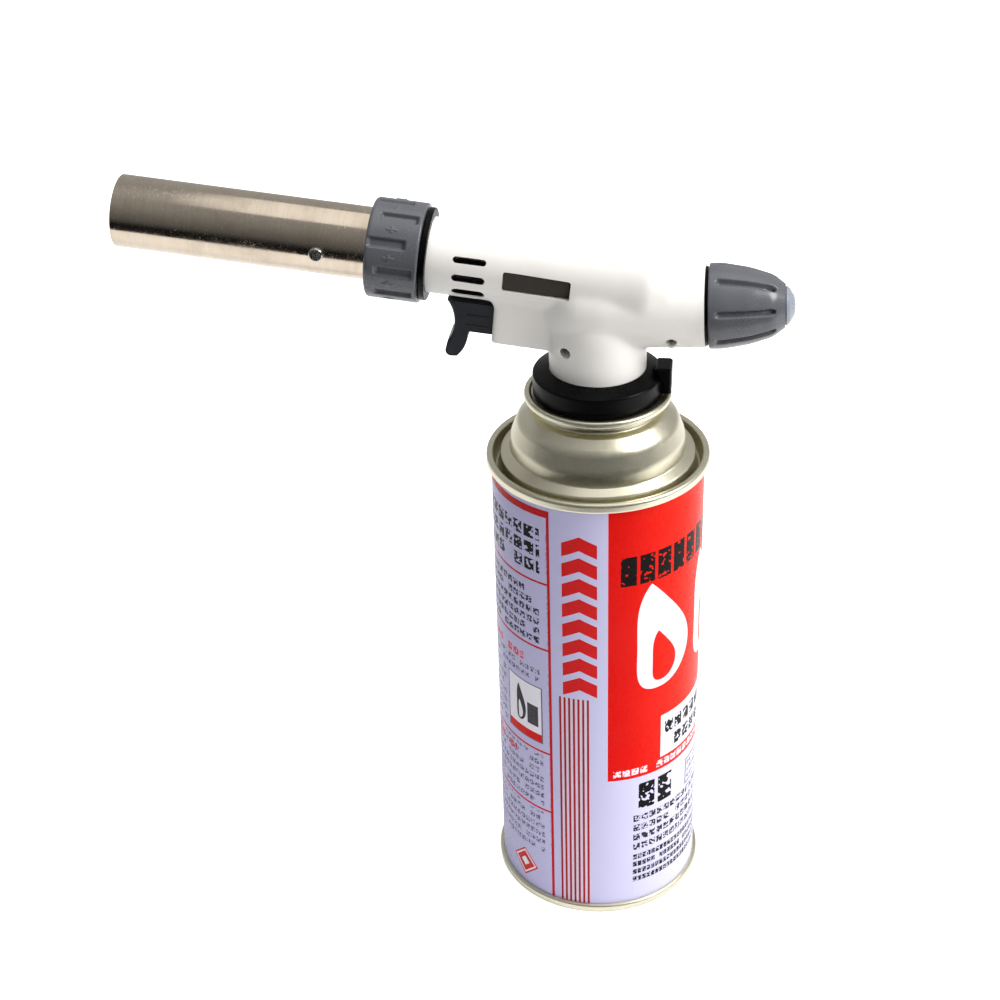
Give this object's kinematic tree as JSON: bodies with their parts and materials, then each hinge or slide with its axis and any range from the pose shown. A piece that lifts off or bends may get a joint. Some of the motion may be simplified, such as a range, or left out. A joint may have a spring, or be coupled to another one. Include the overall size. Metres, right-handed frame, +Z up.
{
  "type": "butane torch",
  "caption": "Hand torch head with a trigger igniter, flame knob and air collar, locked by a bayonet onto an upright gas cartridge.",
  "frame": {"origin": "centre of the cartridge's base, on the surface it stands on", "axes": "+Z up along the cartridge's axis, barrel towards -X, flame knob towards +X, the middle plane of the head is y = 0"},
  "size_m": [0.1984, 0.068, 0.2423],
  "materials": {
    "printed_tin": "satin",
    "tinplate": "satin",
    "black_rubber": "matt",
    "valve_plastic": "satin",
    "spring_steel": "bright",
    "black_plastic": "gloss",
    "brass": "turned",
    "zinc": "cast",
    "steel_tube": "satin",
    "barrel_steel": "polished",
    "screw_steel": "bright",
    "black_screw": "blackened",
    "ceramic": "satin",
    "white_plastic": "satin",
    "plate_dark": "satin",
    "igniter_black": "satin",
    "lead_red": "gloss",
    "gray_plastic": "satin",
    "air_sleeve": "satin",
    "trigger_black": "satin",
    "cap_gray": "satin"
  },
  "bodies": {
    "cartridge": {"can_wall": "printed_tin", "bottom_end": "tinplate", "top_end": "tinplate", "guide_flange": "tinplate", "valve_cup": "tinplate", "cup_gasket": "black_rubber", "valve_housing": "valve_plastic", "stem_gasket": "black_rubber", "valve_stem": "valve_plastic", "valve_spring": "spring_steel", "dip_tube": "valve_plastic"},
    "head": {"mount_ring": "black_plastic", "lug_plate": "spring_steel", "inlet_nozzle": "brass", "inlet_seal": "black_rubber", "inlet_filter": "brass", "valve_block": "zinc", "gland_nut": "brass", "jet": "brass", "mixing_tube": "steel_tube", "tube_clamp": "steel_tube", "burner_head": "brass", "flame_disc": "brass", "barrel": "barrel_steel", "barrel_screws": "screw_steel", "insulator": "ceramic", "electrode": "steel_tube", "left_shell": "white_plastic", "right_shell": "white_plastic", "name_plate": "plate_dark", "shell_screws": "black_screw", "tube_ring": "black_plastic", "piezo_igniter": "igniter_black", "ignition_lead": "lead_red", "knob_ring": "black_plastic"},
    "air_collar": {"collar": "gray_plastic", "air_sleeve": "air_sleeve"},
    "trigger": {"trigger": "trigger_black", "plunger": "igniter_black", "trigger_spring": "spring_steel"},
    "knob": {"knob": "gray_plastic", "knob_cap": "cap_gray", "spindle": "brass", "spindle_seal": "black_rubber"}
  },
  "joints": [
    {"name": "head_twist", "type": "hinge", "parent": "cartridge", "child": "head", "pos_m": [0, 0, 0.1786], "axis": [0, 0, 1], "range_deg": [0, 40]},
    {"name": "collar_turn", "type": "hinge", "parent": "head", "child": "air_collar", "pos_m": [-0.05774, 0, 0.22191], "axis": [-0.994, 0, 0.1092], "range_deg": [0, 15]},
    {"name": "trigger_slide", "type": "slide", "parent": "head", "child": "trigger", "axis": [0.994, 0, -0.1092], "range_m": [0, 0.006], "stiffness_N_per_m": 900, "springref_m": -0.001, "deforming": ["trigger_spring"]},
    {"name": "knob_turn", "type": "hinge", "parent": "head", "child": "knob", "pos_m": [0.03996, 0, 0.20779], "axis": [0.9991, 0, 0.0422], "range_deg": [0, 360]}
  ]
}
